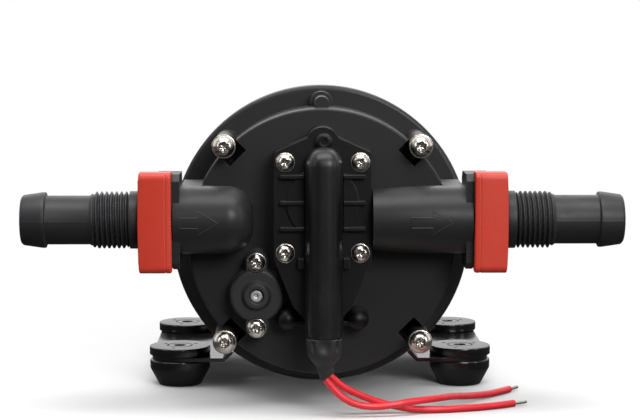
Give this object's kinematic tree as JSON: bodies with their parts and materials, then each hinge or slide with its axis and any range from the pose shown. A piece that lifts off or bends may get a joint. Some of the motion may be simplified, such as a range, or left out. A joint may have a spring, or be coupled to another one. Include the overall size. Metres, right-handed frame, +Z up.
{
  "type": "caravan water pump",
  "caption": "Twelve volt diaphragm pump for caravan fresh water, with barbed hose fittings, slide clips, pressure switch, bypass valve and a motor on rubber feet.",
  "frame": {"origin": "on the floor, in the middle of the four foot holes", "axes": "+X to the outlet, +Y from the pump head to the motor, +Z up"},
  "size_m": [0.2212, 0.2081, 0.1199],
  "materials": {
    "head_plastic": "satin black moulding",
    "switch_plastic": "satin black moulding",
    "fitting_plastic": "satin black moulding",
    "housing_metal": "black paint on cast aluminium",
    "can_metal": "black paint on steel",
    "plate_metal": "black paint on pressed steel",
    "clip_plastic": "glossy red moulding",
    "boot_rubber": "dull black",
    "foot_rubber": "black with a slight sheen",
    "seal_rubber": "dull black",
    "lead_red": "red insulation",
    "tinned_copper": "tinned strands",
    "screw_steel": "bright plated",
    "spring_steel": "plain wire",
    "bearing_steel": "ground and polished",
    "shaft_steel": "ground",
    "lamination_steel": "stacked sheet",
    "magnet_ferrite": "dull grey ferrite",
    "winding_copper": "varnished copper wire",
    "contact_brass": "plain brass",
    "hub_aluminium": "machined",
    "inner_plastic": "natural glass-filled nylon",
    "brush_carbon": "dull carbon",
    "microswitch_plastic": "black moulding"
  },
  "bodies": {
    "pump": {"head_cover": "head_plastic", "head_screws": "screw_steel", "cover_seal": "seal_rubber", "valve_plate": "inner_plastic", "inlet_valves": "seal_rubber", "outlet_valve": "seal_rubber", "diaphragm": "seal_rubber", "motor_bearing_outer_rings": "bearing_steel", "motor_bearing_balls": "bearing_steel", "drive_housing": "housing_metal", "motor_can": "can_metal", "motor_magnets": "magnet_ferrite", "brushes": "brush_carbon", "brush_springs": "spring_steel", "brush_card": "inner_plastic", "rear_cap": "housing_metal", "motor_grommet": "seal_rubber", "motor_bolts": "screw_steel", "switch_cover": "switch_plastic", "switch_screws": "screw_steel", "switch_membrane": "seal_rubber", "switch_spring": "spring_steel", "microswitch_body": "microswitch_plastic", "switch_terminals": "contact_brass", "lead_receptacles": "contact_brass", "lead_tails": "lead_red", "switch_boot": "boot_rubber", "boot_end": "boot_rubber", "supply_lead": "lead_red", "motor_lead": "lead_red", "lead_tips": "tinned_copper", "bypass_cover": "switch_plastic", "bypass_screws": "screw_steel", "bypass_spring": "spring_steel", "base_plate": "plate_metal", "base_screws": "screw_steel", "rubber_feet": "foot_rubber"},
    "rotor": {"motor_shaft": "shaft_steel", "armature_core": "lamination_steel", "armature_windings": "winding_copper", "commutator": "contact_brass", "eccentric_hub": "hub_aluminium", "hub_set_screw": "screw_steel", "motor_bearing_inner_rings": "bearing_steel", "wobble_bearing_inner_ring": "bearing_steel"},
    "wobble": {"wobble_plate": "inner_plastic", "wobble_bearing_outer_ring": "bearing_steel", "wobble_bearing_balls": "bearing_steel", "pistons": "inner_plastic", "piston_screws": "screw_steel"},
    "inlet": {"inlet_fitting": "fitting_plastic", "inlet_o_rings": "seal_rubber"},
    "outlet": {"outlet_fitting": "fitting_plastic", "outlet_o_rings": "seal_rubber"},
    "inlet_clip": {"inlet_clip": "clip_plastic"},
    "outlet_clip": {"outlet_clip": "clip_plastic"},
    "bypass_adjuster": {"bypass_adjuster": "spring_steel"},
    "bypass_poppet": {"bypass_poppet": "seal_rubber"},
    "switch_plunger": {"switch_plunger": "inner_plastic", "microswitch_button": "microswitch_plastic"}
  },
  "joints": [
    {"name": "motor_spin", "type": "hinge", "parent": "pump", "child": "rotor", "pos_m": [0, 0, 0.0623], "axis": [0, 1, 0], "continuous": true},
    {"name": "wobble_nutate", "type": "hinge", "parent": "rotor", "child": "wobble", "pos_m": [0, -0.0354, 0.0623], "axis": [0, 0.999, 0.0436], "continuous": true, "deforming": ["diaphragm"]},
    {"name": "inlet_swivel", "type": "hinge", "parent": "pump", "child": "inlet", "pos_m": [-0.09, -0.091, 0.0719], "axis": [-1, 0, 0], "continuous": true},
    {"name": "outlet_swivel", "type": "hinge", "parent": "pump", "child": "outlet", "pos_m": [0.09, -0.091, 0.0719], "axis": [1, 0, 0], "continuous": true},
    {"name": "inlet_clip_slide", "type": "slide", "parent": "pump", "child": "inlet_clip", "axis": [0, -1, 0], "range_m": [0, 0.014]},
    {"name": "outlet_clip_slide", "type": "slide", "parent": "pump", "child": "outlet_clip", "axis": [0, -1, 0], "range_m": [0, 0.014]},
    {"name": "bypass_screw_turn", "type": "hinge", "parent": "pump", "child": "bypass_adjuster", "pos_m": [-0.0245, -0.09, 0.0434], "axis": [0, 1, 0], "range_deg": [-360, 360]},
    {"name": "bypass_poppet_lift", "type": "slide", "parent": "pump", "child": "bypass_poppet", "axis": [0, -1, 0], "range_m": [0, 0.0015], "stiffness_N_per_m": 3000, "springref_m": -0.0005, "deforming": ["bypass_spring"]},
    {"name": "switch_plunger_push", "type": "slide", "parent": "pump", "child": "switch_plunger", "axis": [0, -1, 0], "range_m": [0, 0.0008], "stiffness_N_per_m": 1500, "springref_m": -0.0005, "deforming": ["switch_spring"]}
  ],
  "couplings": [
    {"joint": "wobble_nutate", "follows": "motor_spin", "ratio": -1}
  ]
}
